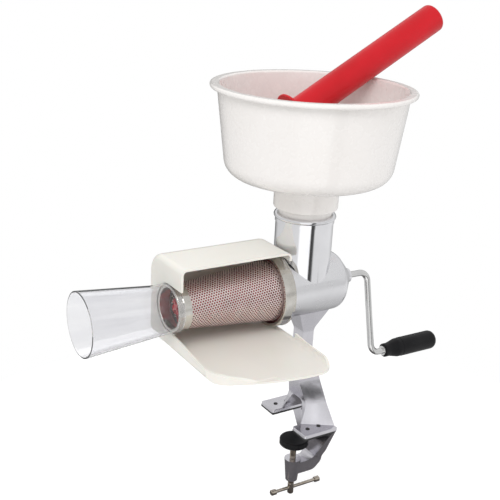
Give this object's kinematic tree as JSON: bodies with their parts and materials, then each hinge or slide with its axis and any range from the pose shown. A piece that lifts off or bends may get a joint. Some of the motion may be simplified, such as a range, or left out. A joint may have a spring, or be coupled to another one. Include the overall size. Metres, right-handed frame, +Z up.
{
  "type": "food mill",
  "caption": "Hand-cranked food mill with hopper and plunger, screw auger in a perforated cone, pulp tray, splash guard and table clamp.",
  "frame": {"origin": "on the table top under the feet, on the clamp screw's axis, midway between the two feet", "axes": "+Z up, against the direction in which the clamp holds; +X towards the crank, along the barrel; -Y towards the pulp tray's lip"},
  "size_m": [0.5002, 0.253, 0.6344],
  "materials": {
    "cast_aluminium": "polished casting, satin on the barrel",
    "stainless_rod": "polished round bar",
    "perforated_steel": "perforated sheet, bright",
    "rolled_steel": "rolled rim, bright",
    "plated_steel": "nickel plated",
    "shaft_steel": "ground",
    "spring_steel": "drawn wire",
    "red_plastic": "semi-gloss moulded",
    "white_plastic": "glossy moulded, slightly translucent",
    "ivory_plastic": "glossy moulded",
    "clear_plastic": "clear moulded",
    "black_plastic": "satin moulded",
    "black_rubber": "moulded rubber",
    "nylon": "turned nylon"
  },
  "bodies": {
    "body": {"body_casting": "cast_aluminium", "shaft_bushing": "nylon", "shaft_seal": "black_rubber", "thrust_washer": "nylon", "foot_pad_left": "black_rubber", "foot_pad_right": "black_rubber"},
    "crank": {"crank_rod": "stainless_rod", "grip_collar": "shaft_steel", "grip_retainer": "shaft_steel", "auger_shaft": "shaft_steel", "auger": "red_plastic", "auger_spring": "spring_steel"},
    "grip": {"crank_grip": "black_plastic"},
    "screen": {"screen_cone": "perforated_steel", "screen_nose_ring": "rolled_steel", "screen_collar": "rolled_steel", "screen_gasket": "black_rubber"},
    "chute": {"chute": "ivory_plastic"},
    "guard": {"splash_guard": "clear_plastic"},
    "hopper": {"hopper": "white_plastic"},
    "plunger": {"plunger_tube": "red_plastic", "plunger_stop": "red_plastic", "plunger_foot": "red_plastic"},
    "clamp_pad": {"pressure_disc": "black_plastic"},
    "screw": {"clamp_screw": "plated_steel"},
    "bar": {"tommy_bar": "plated_steel", "bar_knob_front": "plated_steel", "bar_knob_rear": "plated_steel"}
  },
  "joints": [
    {"name": "crank_spin", "type": "hinge", "parent": "body", "child": "crank", "pos_m": [-0.0085, 0, 0.1914], "axis": [1, 0, 0], "continuous": true},
    {"name": "grip_spin", "type": "hinge", "parent": "crank", "child": "grip", "pos_m": [0.1595, -0.02443, 0.08558], "axis": [1, 0, 0], "continuous": true},
    {"name": "screen_twist", "type": "hinge", "parent": "body", "child": "screen", "pos_m": [-0.0505, 0, 0.1914], "axis": [1, 0, 0], "range_deg": [-25, 0]},
    {"name": "chute_slide", "type": "slide", "parent": "body", "child": "chute", "axis": [-1, 0, 0], "range_m": [0, 0.15]},
    {"name": "guard_slide", "type": "slide", "parent": "chute", "child": "guard", "axis": [-1, 0, 0], "range_m": [0, 0.12]},
    {"name": "hopper_lift", "type": "slide", "parent": "body", "child": "hopper", "axis": [0, 0, 1], "range_m": [0, 0.08]},
    {"name": "plunger_pull", "type": "slide", "parent": "hopper", "child": "plunger", "axis": [0.8746, 0, 0.4848], "range_m": [0, 0.09]},
    {"name": "clamp_travel", "type": "slide", "parent": "body", "child": "clamp_pad", "axis": [0, 0, 1], "range_m": [-0.012, 0.008]},
    {"name": "screw_turn", "type": "hinge", "parent": "clamp_pad", "child": "screw", "pos_m": [0, 0, -0.0686], "axis": [0, 0, 1], "range_deg": [-2160, 1440]},
    {"name": "bar_slide", "type": "slide", "parent": "screw", "child": "bar", "axis": [1, 0, 0], "range_m": [-0.034, 0.019]}
  ],
  "couplings": [
    {"joint": "screw_turn", "follows": "clamp_travel", "rad_per_m": 3141.6}
  ]
}
